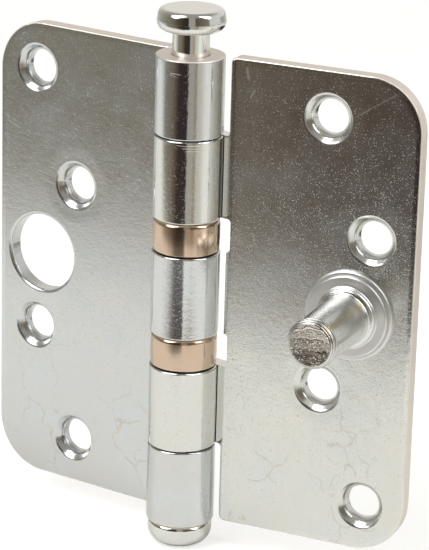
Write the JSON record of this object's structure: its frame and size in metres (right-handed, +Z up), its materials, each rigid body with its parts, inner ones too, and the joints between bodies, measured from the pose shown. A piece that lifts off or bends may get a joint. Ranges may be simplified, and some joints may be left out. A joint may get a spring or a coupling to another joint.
{
  "type": "ball bearing butt hinge",
  "caption": "Butt hinge of two steel leaves with rolled knuckles, ball bearings, a loose pin and a security stud that enters a hole in the facing leaf.",
  "frame": {"origin": "on the hinge axis at the middle of the leaves' height", "axes": "+Z up along the hinge axis towards the pin's head, -X along the left leaf, -Y the way the countersunk faces look"},
  "size_m": [0.0869, 0.0236, 0.1021],
  "materials": {
    "plated_leaf": "bright zinc plate on rolled sheet",
    "turned_stud": "turned and zinc plated, with a bare sheared end",
    "polished_pin": "bright zinc plate on a turned and polished pin",
    "bearing_cup": "thin coppery plate on a drawn steel cup",
    "bearing_steel": "ground and polished bearing steel"
  },
  "bodies": {
    "left_leaf_body": {"left_leaf": "plated_leaf", "bottom_plug": "polished_pin", "upper_bearing_bottom_race": "bearing_steel", "lower_bearing_cup": "bearing_cup", "lower_bearing_top_race": "bearing_steel"},
    "right_leaf_body": {"right_leaf": "plated_leaf", "security_stud": "turned_stud", "upper_bearing_cup": "bearing_cup", "upper_bearing_top_race": "bearing_steel", "lower_bearing_bottom_race": "bearing_steel"},
    "loose_pin": {"hinge_pin": "polished_pin"},
    "upper_ball_ring": {"upper_bearing_ball_01": "bearing_steel", "upper_bearing_ball_02": "bearing_steel", "upper_bearing_ball_03": "bearing_steel", "upper_bearing_ball_04": "bearing_steel", "upper_bearing_ball_05": "bearing_steel", "upper_bearing_ball_06": "bearing_steel", "upper_bearing_ball_07": "bearing_steel", "upper_bearing_ball_08": "bearing_steel", "upper_bearing_ball_09": "bearing_steel", "upper_bearing_ball_10": "bearing_steel", "upper_bearing_ball_11": "bearing_steel", "upper_bearing_ball_12": "bearing_steel"},
    "lower_ball_ring": {"lower_bearing_ball_01": "bearing_steel", "lower_bearing_ball_02": "bearing_steel", "lower_bearing_ball_03": "bearing_steel", "lower_bearing_ball_04": "bearing_steel", "lower_bearing_ball_05": "bearing_steel", "lower_bearing_ball_06": "bearing_steel", "lower_bearing_ball_07": "bearing_steel", "lower_bearing_ball_08": "bearing_steel", "lower_bearing_ball_09": "bearing_steel", "lower_bearing_ball_10": "bearing_steel", "lower_bearing_ball_11": "bearing_steel", "lower_bearing_ball_12": "bearing_steel"}
  },
  "joints": [
    {"name": "leaf_swing", "type": "hinge", "parent": "left_leaf_body", "child": "right_leaf_body", "pos_m": [0, 0, 0], "axis": [0, 0, 1], "range_deg": [-189.5, 80.5]},
    {"name": "pin_draw", "type": "slide", "parent": "left_leaf_body", "child": "loose_pin", "axis": [0, 0, 1], "range_m": [-0.0043, 0.078]},
    {"name": "upper_ball_orbit", "type": "hinge", "parent": "left_leaf_body", "child": "upper_ball_ring", "pos_m": [0, 0, 0], "axis": [0, 0, 1], "range_deg": [-95, 41]},
    {"name": "lower_ball_orbit", "type": "hinge", "parent": "left_leaf_body", "child": "lower_ball_ring", "pos_m": [0, 0, 0], "axis": [0, 0, 1], "range_deg": [-95, 41]}
  ],
  "couplings": [
    {"joint": "upper_ball_orbit", "follows": "leaf_swing", "ratio": 0.5},
    {"joint": "lower_ball_orbit", "follows": "leaf_swing", "ratio": 0.5}
  ]
}
